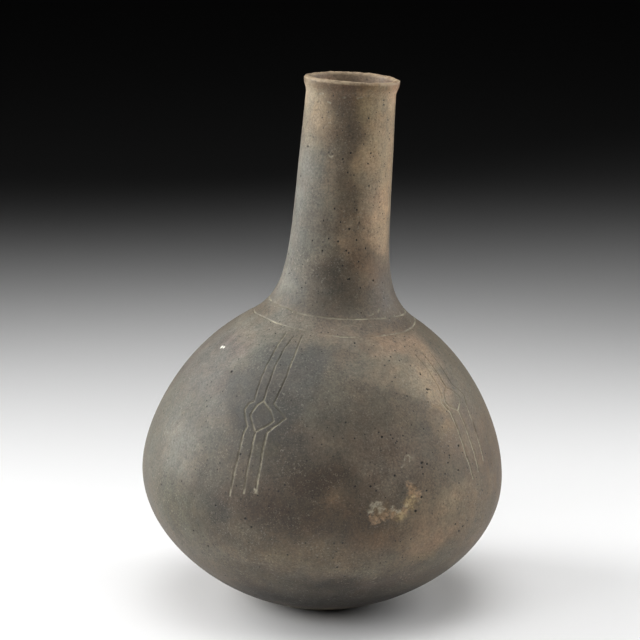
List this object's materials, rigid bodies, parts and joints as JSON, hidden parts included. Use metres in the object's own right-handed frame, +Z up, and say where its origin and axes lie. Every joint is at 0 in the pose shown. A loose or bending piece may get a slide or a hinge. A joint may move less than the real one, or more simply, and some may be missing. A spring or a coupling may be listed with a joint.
{
  "type": "engraved pottery bottle",
  "caption": "Dark burnished clay bottle with a low round belly, a slender leaning neck, a small rolled-out lip and fine engraved lines round the neck's root and down the shoulder.",
  "frame": {"origin": "centre of the flat worn spot under the rounded base, on which the bottle stands", "axes": "+Z up along the height; -Y is the side with the sharpest engraved panel; the neck leans towards +X"},
  "size_m": [0.1715, 0.1698, 0.2514],
  "materials": {
    "fired_clay": "burnished, smoke-clouded and worn"
  },
  "bodies": {
    "root": {"bottle": "fired_clay"}
  },
  "joints": []
}
